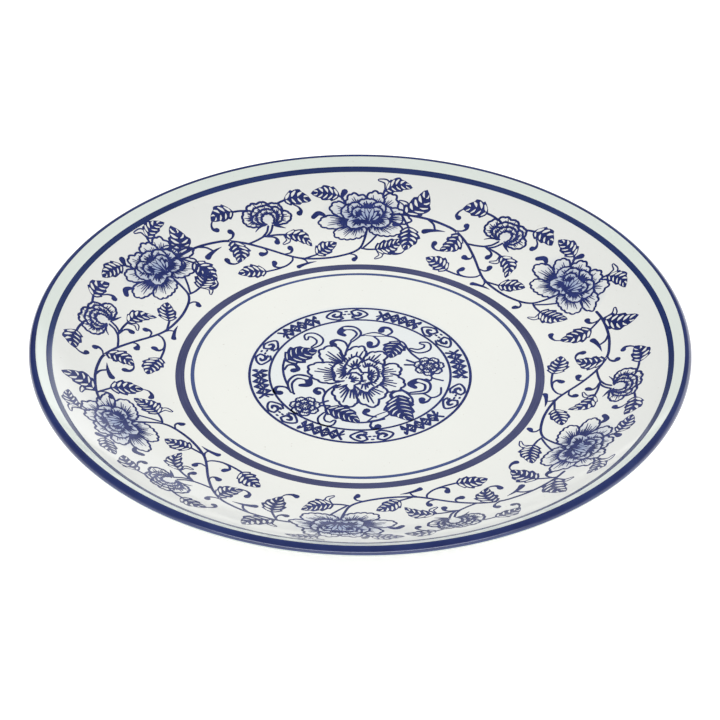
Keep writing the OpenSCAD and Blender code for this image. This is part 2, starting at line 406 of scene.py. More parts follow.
def big_peony(d):
    """The garland's large flower, 40 mm wide and 25 mm high, drawn from its back petals to its heart."""
    ruffled = {"depth": 0.8, "pitch": 3.0}
    # Petals: base, count of hatches, how far they reach, and outline; in front also how heavy they are
    back = [
        ((5, 3), 12, 0.84, [(6, 6), (7, 11), (9.4, 12.3), (11.6, 11.5), (12.4, 9), (13.2, 7.4),
         (12, 4.5)]),
        ((3, 4), 10, 0.82, [(-1.5, 8.5), (0.8, 11.6), (3, 13), (5.2, 12.4), (6.8, 11), (7.4, 8)]),
        ((-2, 4), 12, 0.84, [(-8.2, 6.5), (-7.8, 9), (-6.6, 11.2), (-4.8, 12), (-2.6, 11.2), (0, 10.8),
         (1.2, 8)]),
        ((-4, 2), 10, 0.82, [(-12.5, 1.6), (-14.6, 4.4), (-13.8, 7), (-11.5, 8.4), (-9, 7.6), (-7, 5.5)]),
        ((5, 0.5), 14, 0.86, [(8, 6), (12, 5.8), (15, 5), (16.8, 3), (18.8, 1.6), (19.4, -0.2),
         (16.5, -2), (10, -2.6)]),
        ((3, -2), 17, 0.84, [(1.6, -5.5), (2.4, -7.6), (5, -8.8), (9, -9.3), (13, -8.8), (16, -7),
         (16.4, -4.4), (14.5, -2), (10, -1.2)]),
        ((-4, -1.5), 14, 0.82, [(-9, -0.6), (-12, 1.2), (-15.5, 1.8), (-18.6, 0.7), (-20.2, -1.4),
         (-19.4, -3.6), (-15.5, -5.2), (-9, -5.6)]),
        ((-2.4, -2.5), 18, 0.84, [(-7.5, -4.2), (-12, -5.2), (-14.2, -7), (-14.2, -9.4), (-12, -11),
         (-8, -11.7), (-4, -11.2), (-1, -10), (0.6, -7.6), (0.6, -5)]),
    ]
    for base, hatches, reach, outline in back:
        petal(d, base, outline, hatches, reach, **ruffled)
    front = [
        ((4, 1), 10, 0.86, 1.3, [(7, 7), (9.4, 6), (11, 3.6), (10.8, 1), (9, -1.5)]),
        ((-2.5, 3), 13, 0.86, 1.3, [(-7, 7), (-9.2, 5.4), (-10.2, 3), (-9, 0), (-6, -1.8), (-3.4, -2)]),
        ((3.5, 0), 12, 0.86, 1.3, [(9.6, 0.5), (10.8, -1.4), (9.6, -3.6), (7, -4.8), (4, -4.6), (2, -3)]),
        ((-1.5, 0), 16, 0.84, 1.2, [(-7.6, -0.6), (-8.4, -3.4), (-6.4, -5.4), (-3.4, -5.4), (-1, -4.6),
         (1.4, -5.2), (3, -3.4), (2.6, -1)]),
        ((1, 4), 10, 0.82, 1.4, [(-3.6, 6), (-2.4, 8.6), (0.4, 9.4), (3.4, 9), (5, 7)]),
        ((-3, 2.5), 10, 0.84, 1.3, [(-7, 2.6), (-7.2, 5.6), (-5.2, 7.6), (-2.8, 7.4), (-1.2, 5.4)]),
        ((4.2, 2.5), 9, 0.84, 1.3, [(2.6, 6.4), (4.4, 8), (6.8, 7.6), (8.2, 5.6), (7.8, 3)]),
        ((-1.4, 0.5), 9, 0.84, 1.3, [(-5, 0.8), (-5.8, 3.2), (-4, 5.4), (-1.6, 5.2)]),
        ((4, 0.5), 9, 0.84, 1.3, [(2.6, 5.4), (5.2, 5.6), (7.2, 3.6), (7, 1)]),
    ]
    for base, hatches, reach, heavy, outline in front:
        petal(d, base, outline, hatches, reach, heavy=heavy)
    heart(d, (1.6, -1.6), 6.6)
    d.brush([(-3.6, -1.2, 0.3), (-0.6, -2.4, 1), (3, -2.6, 1.1), (6.6, -1.4, 0.4)])


def small_peony(d, pen=1.0):
    """The garland's small flower, 20 mm wide, about its own centre: ruffles round a bare heart."""
    crown = [(-6.2, 2.4), (-6.6, 5), (-4, 6.6), (-1.6, 6.2), (0.4, 6.6), (2.4, 5.2), (4.8, 5), (6.8, 3.6),
             (7.4, 1.2), (9.6, -0.6), (9.8, -3.2), (7.2, -5.4), (3.2, -5.4), (1.2, -3.8)]
    petal(d, (0.5, -1), crown, 34, 0.92, depth=0.5, pitch=2.6, heavy=1.1, pen=pen)
    petal(d, (-3.4, -1.4), [(-1, -4.2), (-4.6, -4.6), (-8, -3.8), (-9.9, -1.4), (-9.6, 1.6), (-7.6, 4.2),
          (-4.6, 3.4)], 18, 0.86, depth=0.5, heavy=1.1, pen=pen)
    petal(d, (3.4, -1.4), [(1.6, 2.8), (4.2, 3.4), (6.4, 1.6), (6.6, -1.6), (4.8, -4.2), (1.6, -4.6)], 14,
          0.86, heavy=1.2, pen=pen)
    petal(d, (0.2, 0.2), [(-6, -1), (-5.8, 1.8), (-3.6, 4.2), (-0.8, 4.6), (2.2, 4.4), (3.8, 2.2)], 17,
          0.88, heavy=1.2, pen=pen)
    petal(d, (-2.6, -1.6), [(-1.2, -4), (-4.2, -3.6), (-6.2, -1.8), (-6, 0.4), (-3.8, 1.4)], 10, 0.86,
          heavy=1.2, pen=pen)
    petal(d, (0.4, -1.6), [(-2.2, -4.4), (-4.2, -2.4), (-3.8, 0.8), (-1.6, 2.6), (0.8, 3), (3.2, 2),
          (4.3, -0.6), (3.6, -3.4), (2, -4.8)], 23, 0.9, depth=0.5, pitch=2.2, heavy=1.2, pen=pen)
    petal(d, (0.4, -2.8), [(-1.4, -4.4), (-2.6, -2.6), (-2.2, -0.6), (-0.8, 0.6), (0.8, 0.8), (2.2, 0),
          (2.8, -1.6), (2.4, -3.4), (1.4, -4.6)], 0, depth=0.4, pitch=1.8, pen=pen)


def garland():
    """One transfer: the vine from the flower before, its shoots and leaves, and the flower at its end."""
    d = Drawing()
    vine = [(-90, 2.5), (-85, 2.9), (-79, 2.7), (-73, 2.2), (-67, 1.1), (-61.5, -0.4), (-55, -4.2),
            (-50, -8), (-45, -12), (-41, -15.2), (-37, -17.9), (-33, -19.8), (-27, -21.2), (-20, -21.7),
            (-14, -21.2), (-8, -19.8), (-4, -17.9), (-1.7, -15.5), (-0.4, -12), (0.3, -9), (0.9, -5)]
    d.line(vine, VINE)
    d.line([(-0.6, -16.2), (2.6, -12.8), (5.4, -8.8)], STEM)

    # Shoots with buds
    d.tendril([(-85, 2.5), (-84.6, -0.8), (-85.8, -2.4), (-87.6, -2.4)], 2.2)
    d.tendril([(-61.2, -0.4), (-58.6, 0.2), (-57.2, 1.8), (-57.8, 3.2)], 2.2)
    d.tendril([(-48.2, -9.4), (-47.6, -11.6), (-49, -12.6), (-51, -12.3)], 2.4)
    d.tendril([(-40.5, -15.4), (-37.4, -15.4), (-36, -14), (-36.4, -12.7)], 2.5)
    d.tendril([(-44.4, -4.2), (-41.4, -5.2), (-40.4, -6.6), (-41, -8.2)], 2.4)
    d.tendril([(-8.4, -19.9), (-5.2, -20.6), (-4.2, -22.2), (-5.6, -23.6)], 2.4)
    d.line([(-74.4, 2.3), (-71.4, 0.4), (-69.9, -2.2)], STEM)
    d.brush([(-65.3, -2.1, 0.2), (-69, -2.5, 1.2), (-72, -3.2, 1.9), (-74.2, -4.1, 2.6)])
    d.line([(-33.5, -19.7), (-31.6, -21.2), (-31, -23)], STEM)
    d.brush([(-26, -23.1, 0.2), (-30, -23.3, 1.1), (-34, -23.9, 1.6), (-36.8, -24.6, 2.3)])

    # Leaves at the vine's start
    d.line([(-85.6, 2.8), (-83.6, 0), (-81.4, -3.2)], STEM)
    leaf(d, (-81.4, -2.6), (-80.2, -16.2), 10, bend=0.8, shade=-1)
    d.tendril([(-80.2, -15.6), (-81.4, -17.8), (-84.2, -18.8), (-86.6, -18.2)], 2.2)
    hook(d, [(-84.4, 3.4), (-84.4, 7.6), (-87, 9.1)], 2.4)
    leaf(d, (-84.6, 3.2), (-77.6, 15.6), 9.2, bend=-2.6, teeth=3, shade=-1)

    # Curled leaf under the vine, and the long-stemmed leaf near the verge
    hook(d, [(-60.4, -0.8), (-59.6, -4.2), (-62.8, -4.8)], 2)
    leaf(d, (-59.2, -1.2), (-63.6, -12.8), 9, bend=2.4, shade=-1)
    d.tendril([(-62, -12.4), (-65.4, -12.6), (-67.6, -11.2), (-67.6, -9.2)], 2.4)
    d.line([(-37.2, -17.9), (-38.4, -20.2), (-42.4, -22.2), (-48.4, -22.9), (-54.6, -22.5)], STEM)
    d.tendril([(-43.6, -22.3), (-46.8, -22.3), (-48.8, -20.8), (-47.6, -18.9)], 2.5)
    leaf(d, (-54.2, -22.4), (-68.6, -18), 8.6, bend=-0.6, shade=1)

    # Stalk, calyx and leaves of the small flower
    d.line([(-53.6, -5.2), (-49, -4.6), (-44.6, -3.4)], STEM)
    d.line([(-46, -3.8), (-43.2, -1.8), (-41.6, 0.8)], STEM)
    d.line([(-44, -3.9), (-41.4, -2), (-39.6, 0.8)], STEM)
    d.line([(-47.8, -0.4), (-45.6, 1), (-43.4, 1.4)], 0.7, ends=0.5)
    d.brush([(-38.6, 0.6, 1.3), (-37, -0.5, 1.1), (-34.7, -1.8, 0.3)])
    d.line([(-53, 11.3), (-50, 10.9), (-46.6, 9.9)], STEM)
    leaf(d, (-52.2, 11.4), (-62.4, 10.6), 7.8, bend=-1.2, teeth=3, slits=4, shade=1)
    d.tendril([(-61.4, 10.9), (-63.2, 8.8), (-63.6, 6.8), (-62.4, 5.9)], 2)
    d.line([(-36, 9.6), (-34, 10.6), (-31.6, 11.3)], STEM)
    leaf(d, (-32, 11.2), (-21.2, 9.6), 7.2, bend=1.5, teeth=3, slits=4, shade=-1)
    d.tendril([(-28.6, 8.8), (-26.8, 7.2), (-26.2, 5.4), (-27.1, 4.3)], 2.2)
    flower = Drawing()
    small_peony(flower, pen=1.1)
    add(d, flower, shift=SMALL_FLOWER)

    # Leaf to the right of the small flower
    d.line([(-45, -3.8), (-40, -4.3), (-35.6, -5.2)], STEM)
    hook(d, [(-36.4, -5.4), (-35.6, -8.4), (-38.4, -9.8)], 2.2)
    leaf(d, (-36.6, -5), (-25.6, -13.8), 7.2, bend=2.6, shade=-1)

    # Leaves under and beside the large flower
    d.line([(-31.5, -20.2), (-28, -19.6), (-24.6, -18.9)], STEM)
    leaf(d, (-25.2, -19), (-13.4, -12.8), 8.2, bend=0.4, teeth=3, shade=-1)
    d.line([(-1.6, -16.6), (1.6, -17.2), (5.6, -17)], STEM)
    hook(d, [(6.2, -17.2), (8.6, -20.4), (6, -22.6)], 2.4)
    leaf(d, (5, -17.2), (17.8, -10), 9.2, bend=-1.6, slits=6, shade=1)
    d.line([(-8.4, 8), (-9.2, 9.8), (-10.6, 10.9)], 0.9)
    leaf(d, (-10, 10.8), (-21, 12.9), 7, bend=-0.6, teeth=3, shade=1)
    d.brush([(-9.4, 9.2, 0.6), (-9, 11, 1.7), (-8.1, 12.6, 2.5)])
    d.brush([(-16.4, 0.6, 0.6), (-17.6, 2.4, 1.7), (-19.6, 3.2, 2.3), (-21.8, 1.6, 2.1)])
    d.line([(6.4, 8), (6.4, 11), (7, 13.6)], 0.9)
    hook(d, [(7.4, 13.4), (7.4, 17), (4.7, 17.8)], 2.2)
    leaf(d, (7, 13.2), (17.2, 15.6), 6.4, bend=1.9, teeth=3, shade=-1)
    big_peony(d)
    return d.ink()


def scroll_pair(d):
    """A border motif: two pointed scrolls back to back, 17 mm over both, with three dots between them."""
    for side in (1, -1):
        rim = [(1.9, -2.2), (4.2, -2.9), (6.8, -1.7), (8.4, 0.1), (6.6, 2.1), (4, 3), (1.9, 2)]
        d.brush([(side * x, y, 1.0) for x, y in rim], step=0.35)
        curl = [(2, 1.6, 1), (2.6, -0.2, 1.2), (4.4, -0.9, 1.5), (5.7, 0.3, 1.4), (4.6, 1.2, 1)]
        d.brush([(side * x, y, w) for x, y, w in curl], step=0.35)
        d.brush([(side * 2, -1.2, 0.9), (side * 3, -1.4, 1.1)])
    for x, y in ((0.0, 2.2), (-0.9, 0.3), (0.9, 0.3)):
        d.brush([(x - 0.3, y, 0.9), (x + 0.3, y, 0.9)])


def spray(d):
    """A border motif: a twig set with crossed leaves and pairs of berries, 18 mm long."""
    for i in range(-2, 3):
        x = 3.5 * i
        tall = 2.1 if i % 2 else 2.6
        for lean in (1, -1):
            d.brush([(x - 1.5 * lean, -tall, 1.4), (x - 0.5 * lean, -0.8, 1.1), (x + 0.5 * lean, 0.8, 1.1),
                    (x + 1.6 * lean, tall, 1.1)])
            d.brush([(x + 1.75, 0.7 * lean, 0.5), (x + 1.7, 1.6 * lean, 1.4), (x + 1.7, 2.0 * lean, 1.2)])
    d.brush([(-9.2, -0.8, 0.8), (-6.5, 0.6, 0.9), (-3.5, -0.5, 0.8), (0, 0.5, 0.9), (3.5, -0.5, 0.8),
            (6.5, 0.6, 0.9), (9.2, -0.9, 0.8)])


def rosette(d, place, radius, turn):
    """A small full-blown flower: rings of short hatched petals, the inner ones over the outer."""
    for reach, count, hatches in ((1.0, 7, 5), (0.68, 6, 3), (0.38, 5, 1)):
        half = 200.0 / count
        for k in range(count):
            aim = turn + 360.0 * k / count
            rim = [polar(place, radius * reach * share, aim + half * side)
                   for share, side in ((0.72, -1), (0.96, -0.55), (1.0, 0), (0.96, 0.55), (0.72, 1))]
            petal(d, polar(place, radius * reach * 0.25, aim), rim, hatches, 0.88,
                  depth=0.3, pitch=1.9, heavy=1.5)
        turn += 25.0


# Directions of the border's scrolls and sprays, anticlockwise from +X
SCROLL_TURNS = [98, 39, -21, -83, 220, 160]
SPRAY_TURNS = [67, 10, -52, 248, 190, 129]


def ring(line):
    """One of the medallion's lines, drawn with a slightly uneven pen."""
    middle, width = line
    d = Drawing()
    turns = [3 * i for i in range(121)]
    sides = []
    for side in (1, -1):
        wander = [0.05 * waver(math.radians(t % 360), 1.3 + side) for t in turns]
        sides.append([polar((0, 0), middle + side * (width / 2 + w), t) for t, w in zip(turns, wander)])
    d.strip(*sides, ink=True)
    return d.ink()


def border():
    """The motifs between the medallion's two lines."""
    d = Drawing()
    radius = (MEDALLION_OUTER[0] + MEDALLION_INNER[0]) / 2 - 0.1
    for motif, turns in ((scroll_pair, SCROLL_TURNS), (spray, SPRAY_TURNS)):
        one = Drawing()
        motif(one)
        for turn in turns:
            add(d, one, turn=turn - 90, bent_at=radius)
    return d.ink()


def volute(d, points, size):
    """A fat scroll that winds in on itself, dark on its outside and bare within."""
    last = len(points) - 1
    swell = [size * (0.3 + 0.7 * math.sin(math.pi * (0.12 + 0.75 * i / last))) for i in range(last + 1)]
    d.brush([(x, y, w) for (x, y), w in zip(points, swell)], step=0.4)
    slim = points[: last // 2 + 2]
    d.brush([(x, y, 0.25 + 0.38 * size * i / (len(slim) - 1)) for i, (x, y) in enumerate(slim)],
            ink=False, step=0.4)


def medallion():
    """The middle of the dish: one large flower inside a ring of vine."""
    d = Drawing()
    # The vine: left arc, top arc, lower left stem, foot arc and lower right arc
    d.line([(-30, 9.6), (-30.6, 4.6), (-30.2, -1), (-28.6, -7.2), (-25.8, -13.4)], 1)
    d.line([(-5.6, 14.5), (-4.6, 18.6), (-3, 22.2), (-0.6, 24.8), (1.6, 25.6)], 1)
    d.brush([(1.2, 25.8, 0.8), (5.8, 26.2, 3.2), (10.6, 25.2, 0.9)])
    d.brush([(1.6, 25.8, 0.1), (5.8, 26.1, 1.8), (10, 25.3, 0.1)], ink=False)
    d.line([(10.4, 25.2), (13.6, 24.2), (16.2, 21.4), (18.4, 18), (20.6, 13.6), (23.6, 9.8)], 1)
    d.line([(-9.4, -7.4), (-13, -11.6), (-14.4, -17), (-13, -23), (-9.4, -28.6)], 1)
    d.line([(-6.6, -29.8), (-1, -31.2), (4.6, -30.6), (9.6, -28.8)], 1)
    d.brush([(3, -30.6, 0.8), (7.6, -27.6, 3.6), (15.6, -21.6, 0.9)])
    d.brush([(4, -29.8, 0.1), (7.8, -27.3, 2.2), (14, -22.6, 0.2)], ink=False)
    d.line([(15, -9.4), (18.4, -12.2), (20.6, -16), (20.6, -20.2)], 1)
    d.line([(16.4, -10), (20.2, -12.6), (25, -12.6), (28.4, -15), (31.6, -12.8), (32, -8.6)], 0.9)
    # Small curls
    curls = [
        [(-5, 17.4), (-6.2, 20.8), (-9.2, 22.2), (-11.4, 20.8), (-10.6, 18.8)],
        [(10.6, 25.4), (12.8, 27.8), (11.6, 30.4), (9.2, 30.6), (8.4, 28.6)],
        [(5.4, 24.8), (7.4, 21.8), (6.6, 18.6), (4, 17.8), (3.8, 20.2)],
        [(-30, 2.2), (-28.6, 5.2), (-25.8, 5.2), (-24.6, 2.6), (-26.4, 1.8)],
        [(-26.6, -12.6), (-29.2, -9.2), (-32.6, -9), (-33.4, -12), (-31.4, -12.8)],
        [(-13.6, -13.4), (-14.4, -10.4), (-16.6, -9.6), (-17.6, -11.4), (-16.4, -12.6)],
        [(16.6, -10.8), (14, -11.4), (12.2, -13.4), (13.2, -15.8), (15.2, -15)],
        [(6.4, -27.6), (3.6, -26.8), (1.8, -25.2), (2.8, -23.6)],
        [(4.8, -30.4), (4.2, -33.4), (5.8, -35), (7.2, -33.4)],
        [(28, -15), (26.6, -17.4), (24.4, -18.2), (24.4, -16.2)],
    ]
    for points in curls:
        d.tendril(points, 2.5, stem=0.9)
    # Fat scrolls
    volute(d, [(-3.4, 21.6), (-0.6, 26.2), (-2.4, 29.8), (-6.2, 30.2), (-8.2, 27.2), (-6.4, 25.4)], 3.2)
    volute(d, [(-26.8, -12), (-27.6, -6.4), (-25, -2.4), (-21, -3.2), (-20.2, -7.2), (-23.4, -7.8)], 3.4)
    volute(d, [(20, -12.4), (25.8, -11), (26.6, -6.4), (23.2, -4.2), (20, -6.4), (21.8, -8.6)], 3.4)
    hook(d, [(-19, 17.2), (-16.6, 19.6), (-16.4, 22.6), (-18.8, 25.2), (-21.4, 25), (-21.6, 22.6)], 3.4,
         pen=1.35)
    hook(d, [(20.2, 16.4), (23.4, 15.2), (26.6, 16.8), (26.8, 19.8), (24.4, 20.6)], 3.4, pen=1.35)
    hook(d, [(-13.6, -25.6), (-15, -28.6), (-14.2, -31.4), (-11.4, -32.2), (-9.8, -30.4)], 3.4, pen=1.35)
    # Leaves
    leaf(d, (-29.8, 7.6), (-17.2, 15.4), 11.5, bend=1.2, shade=1, bare=0.27)
    leaf(d, (16.8, 22), (12, 10.4), 9.4, bend=-1.2, shade=-1, bare=0.27)
    leaf(d, (15.2, -13.4), (20.4, -30), 12, bend=-2.4, slits=6, shade=1, bare=0.29)
    leaf(d, (-13.8, -22.4), (0.2, -31.6), 9, bend=1.6, slits=6, shade=-1, bare=0.29)
    # Two small flowers on their stalks
    for place, turn in (((27.4, 5.2), 165), ((-21.4, -21.2), 12)):
        stalk = polar(place, 9.5, turn)
        for spread in (-14, 14):
            d.line([polar(place, 3, turn), polar(stalk, 1.6, turn + 6.5 * spread)], 1.1)
        rosette(d, place, 6, turn)
    d.line([(28.4, 1.2), (28.6, -2.2), (32.8, -4)], 0.9)
    d.tendril([(28.6, -2), (27.8, -4), (26.2, -3.8)], 2)
    # The large flower's petals: base, count of hatches, how far they reach, and outline
    ruffled = {"depth": 0.95, "pitch": 4.2, "heavy": 1.25, "pen": 1.2, "clear": 0.3, "blunt": 0.8}
    inner = {"heavy": 1.35, "pen": 1.2, "clear": 0.28, "blunt": 0.8}
    back = [
        ((-4, 4), 10, 0.84, [(-13.4, 5.6), (-15.8, 9.6), (-16.6, 14.6), (-14.6, 17), (-11.4, 18.6),
         (-8.4, 16.4), (-7.2, 12), (-6.4, 8.4)]),
        ((-3, 4), 7, 0.84, [(-6.6, 9), (-5.8, 14), (-3.4, 17.2), (0.6, 18.4), (2.2, 16), (2.4, 12.4),
         (1.2, 8)]),
        ((2, 4), 8, 0.84, [(0.8, 8.4), (2.4, 12.4), (5.4, 14.8), (9.6, 14.4), (11, 11.8), (10, 9),
         (9.6, 5)]),
        ((3, 0), 8, 0.84, [(9.4, 5.2), (12.8, 7.2), (16, 5), (16.4, 1.4), (15.2, -0.8), (10, -2.4)]),
        ((3, -3), 9, 0.84, [(13, 0.4), (16.4, -2.4), (18, -6.4), (15.6, -10.6), (11, -11.6), (7.4, -8)]),
        ((-4, -1), 12, 0.84, [(-11, 7.4), (-16.6, 7.2), (-20.4, 5), (-20.6, 0.4), (-18.2, -3.6),
         (-14, -6.4), (-9, -6), (-6.4, -3.4)]),
        ((-3, -6), 9, 0.86, [(-8.6, -7.4), (-11, -11.6), (-9.8, -16), (-7.2, -20.4), (-3.6, -21.4),
         (-1, -19), (-0.6, -12)]),
        ((1, -7), 11, 0.86, [(-1.6, -13), (-0.4, -18), (2.6, -20.6), (6.4, -21.4), (8, -17),
         (10.6, -13.6), (10.4, -9.4), (6.6, -6.4)]),
    ]
    for base, hatches, reach, outline in back:
        petal(d, base, outline, hatches, reach, **ruffled)
    front = [
        ((-4, 2), 8, 0.84, [(-7, 6.8), (-9.4, 6.6), (-11.2, 3), (-10, -1), (-10.2, -4.6), (-6.4, -5)]),
        ((-2, 3), 6, 0.86, [(-6.2, 4.6), (-4.4, 9.2), (-1.4, 11.6), (1, 8.8), (1.6, 5)]),
        ((3, 2), 9, 0.88, [(0.6, 7.6), (3.4, 9.6), (6, 7.6), (8.8, 6.6), (9.4, 3), (8.8, 0)]),
        ((2, -3), 10, 0.86, [(8.6, 0.6), (9.6, -3.4), (7.6, -7.4), (4.8, -9.6), (3, -12.2), (0, -10.6),
         (-2.4, -7.6)]),
        ((3.4, -1.6), 8, 0.88, [(1.6, 4.4), (4.8, 5.2), (7, 2.6), (7.4, -1.8), (5.6, -5.4), (2.6, -6.8)]),
        ((-3.2, -4), 9, 0.8, [(-5, -0.6), (-3.6, 2.6), (-0.6, 3.6), (0.8, 1), (3.6, 0.6), (3.4, -2.6),
         (4.6, -5), (1.6, -7)]),
        ((-4.6, -4.6), 6, 0.8, [(-4.6, -0.2), (-2, 0.8), (0.6, -1.6), (0.4, -5.2), (-1.4, -7.2)]),
    ]
    for base, hatches, reach, outline in front:
        petal(d, base, outline, hatches, reach, **inner)
    return d.ink()


def add(d, other, shift=(0.0, 0.0), turn=0.0, bent_at=None):
    """Lays a drawing over another one, turned and shifted, and first bent round a circle if asked."""
    first_point, first_layer = len(d.points), len(d.layer_is_ink)
    c, s = math.cos(math.radians(turn)), math.sin(math.radians(turn))
    for x, y in other.points:
        if bent_at:
            x, y = (bent_at + y) * math.sin(x / bent_at), (bent_at + y) * math.cos(x / bent_at)
        d.points.append((shift[0] + c * x - s * y, shift[1] + s * x + c * y))
    d.faces.extend([first_point + i for i in face] for face in other.faces)
    d.face_layers.extend(first_layer + layer for layer in other.face_layers)
    d.layer_is_ink.extend(other.layer_is_ink)


# ---- The dish's surface ----

def food_side(r):
    """Height of the food side at radius r, and the direction straight out of it as (outward, up)."""
    if r <= FLOOR_R:
        return FLOOR_Z, (0.0, 1.0)
    run = r - FLOOR_R
    rise = math.sqrt(WALL_ARC_R ** 2 - run ** 2)
    return ARC_Z - rise, (-run / WALL_ARC_R, rise / WALL_ARC_R)


def on_food_side(r, turn, height):
    """The point at radius r and a clockwise turn from +Y, at a height above the food side."""
    z, (outward, up) = food_side(r)
    reach = r + outward * height
    return (reach * math.sin(turn), reach * math.cos(turn), z + up * height)


# ---- Meshes ----

def new_piece(name, points, faces):
    """A smooth-shaded mesh object from points in millimetres."""
    mesh = bpy.data.meshes.new(name)
    mesh.from_pydata([(x * MM, y * MM, z * MM) for x, y, z in points], [], faces)
    mesh.validate()
    mesh.shade_smooth()
    mesh.set_sharp_from_angle(angle=math.radians(SHARP_ANGLE))
    piece = bpy.data.objects.new(name, mesh)
    bpy.context.collection.objects.link(piece)
    return piece


def lathe(name, section_at):
    """A solid turned about the axis; section_at gives its closed (radius, height) section at a turn."""
    count = len(section_at(0.0))
    points, faces = [], []
    for k in range(SEGMENTS):
        turn = 2 * math.pi * k / SEGMENTS
        section = section_at(turn)
        points.extend((r * math.cos(turn), r * math.sin(turn), z) for r, z in section)
        here, after = k * count, (k + 1) % SEGMENTS * count
        for i in range(count):
            j = (i + 1) % count
            on_axis = (section[i][0] < 1e-6, section[j][0] < 1e-6)
            if all(on_axis):
                continue
            face = [here + i, here + j, after + j, after + i]
            if on_axis[0]:
                face = [i, here + j, after + j]
            elif on_axis[1]:
                face = [here + i, j, after + i]
            faces.append(face)
    return new_piece(name, points, faces)


def printed(name, ink, place):
    """A thin solid of ink on the dish; place turns a flat point and a height into a point in space."""
    flat, triangles = ink
    used = sorted({i for t in triangles for i in t})
    index = {old: new for new, old in enumerate(used)}
    count = len(used)
    points = [place(*flat[i], PAINT_RISE) for i in used] + [place(*flat[i], -PAINT_SINK) for i in used]
    top = [tuple(index[i] for i in t) for t in triangles]
    edges = {(t[k], t[(k + 1) % 3]) for t in top for k in range(3)}
    walls = [(b, a, a + count, b + count) for a, b in edges if (b, a) not in edges]
    bottom = [(c + count, b + count, a + count) for a, b, c in top]
    return new_piece(name, points, top + bottom + walls)


def bezier(a, b, c, steps):
    """Points on the curve that leaves a towards b and arrives at c from b."""
    shares = [i / steps for i in range(steps + 1)]
    return [between(between(a, b, t), between(b, c, t), t) for t in shares]


def arc(centre, radius, first, last, steps):
    """Points on an arc, with angles in radians from straight down towards +X."""
    turns = [first + (last - first) * i / steps for i in range(steps + 1)]
    return [(centre[0] + radius * math.sin(t), centre[1] - radius * math.cos(t)) for t in turns]


def food_line(inset):
    """Section of the food side, from the lip's inner tangent to the middle, sunk into the dish by inset."""
    wall = arc((FLOOR_R, ARC_Z), WALL_ARC_R + inset, LIP_TURN, 0, 56)
    floor = [(FLOOR_R * (1 - i / 16), FLOOR_Z - inset) for i in range(1, 17)]
    return wall + floor


def underside_line(inset, foot_z):
    """Section of the outer side, from the foot at height foot_z up to the lip's outer tangent.

    A fillet joins foot and wall. It starts at a share of the foot's height, bends towards a corner outside
    the foot, and takes up an angle of the wall.
    """
    fillet_start, fillet_corner, fillet_turn = 0.68, 0.3, 0.022
    outer = LIP_T + WALL_ARC_R - inset
    side = (FOOT_R + FOOT_LEAN - inset, FOOT_H)
    corner_turn = math.asin((side[0] + fillet_corner - FLOOR_R) / outer)
    corner = arc((FLOOR_R, ARC_Z), outer, corner_turn, corner_turn, 1)[0]
    wall = arc((FLOOR_R, ARC_Z), outer, corner_turn + fillet_turn, LIP_TURN, 44)
    sole = (FOOT_R + SOLE_EASE - inset, 0)
    low = between(sole, side, foot_z / FOOT_H)
    high = between(sole, side, fillet_start)
    return [low, between(low, high, 0.5)] + bezier(high, corner, wall[0], 8) + wall[1:]


def recess_line(inset, foot_z):
    """Section of the face inside the foot, from the foot at height foot_z to the middle, with a fillet."""
    fillet_start, fillet_reach = 0.62, 1.8
    foot_inner = FOOT_R - FOOT_W
    side = (foot_inner - FOOT_LEAN + inset, FOOT_H + inset)
    sole = (foot_inner - SOLE_EASE + inset, 0)
    low = between(sole, side, foot_z / FOOT_H)
    high = between(sole, side, fillet_start)
    roof = (side[0] - fillet_reach, FOOT_H + inset)
    flat = [(roof[0] * (1 - i / 12), FOOT_H + inset) for i in range(1, 13)]
    return [low] + bezier(high, side, roof, 8) + flat


def lip_line(inset, first=LIP_TURN, last=LIP_TURN + math.pi, steps=22):
    """Section of the lip between two directions, from the outer side over the crest."""
    return arc(LIP_CENTRE, LIP_R - inset, first, last, steps)


def make_glaze():
    """The clear coat, with a rounded edge above the bare foot, and sunk a little under the lip's paint."""
    seat = 0.04
    bead_outside, bead_inside = BARE_H - 0.1, BARE_H - 0.14
    top = underside_line(0, BARE_H) + lip_line(seat) + food_line(0)
    inside = underside_line(GLAZE_T, BARE_H) + lip_line(GLAZE_T) + food_line(GLAZE_T)
    outer_bead = [(inside[0][0] + 0.02, bead_inside), (top[0][0] - 0.04, bead_outside)]
    lathe("glaze_outer_skin", lambda turn: top + inside[::-1] + outer_bead)
    recess = recess_line(0, BARE_H)
    recess_inside = recess_line(GLAZE_T, BARE_H)
    inner_bead = [(recess[0][0] + 0.04, bead_outside), (recess_inside[0][0] - 0.02, bead_inside)]
    lathe("glaze_recess_skin", lambda turn: recess[::-1] + inner_bead + recess_inside)


def make_body():
    """The fired clay under the glaze, seen only as the bare band that the plate stands on."""
    sole_corner_height, sole_corner_width = 0.4, 0.45
    top = underside_line(GLAZE_T, sole_corner_height) + lip_line(GLAZE_T) + food_line(GLAZE_T)
    recess = recess_line(GLAZE_T, sole_corner_height)
    sole = [(FOOT_R - FOOT_W + sole_corner_width, 0.0), (FOOT_R - sole_corner_width, 0.0)]
    return lathe("clay_body", lambda turn: top + recess[::-1] + sole)


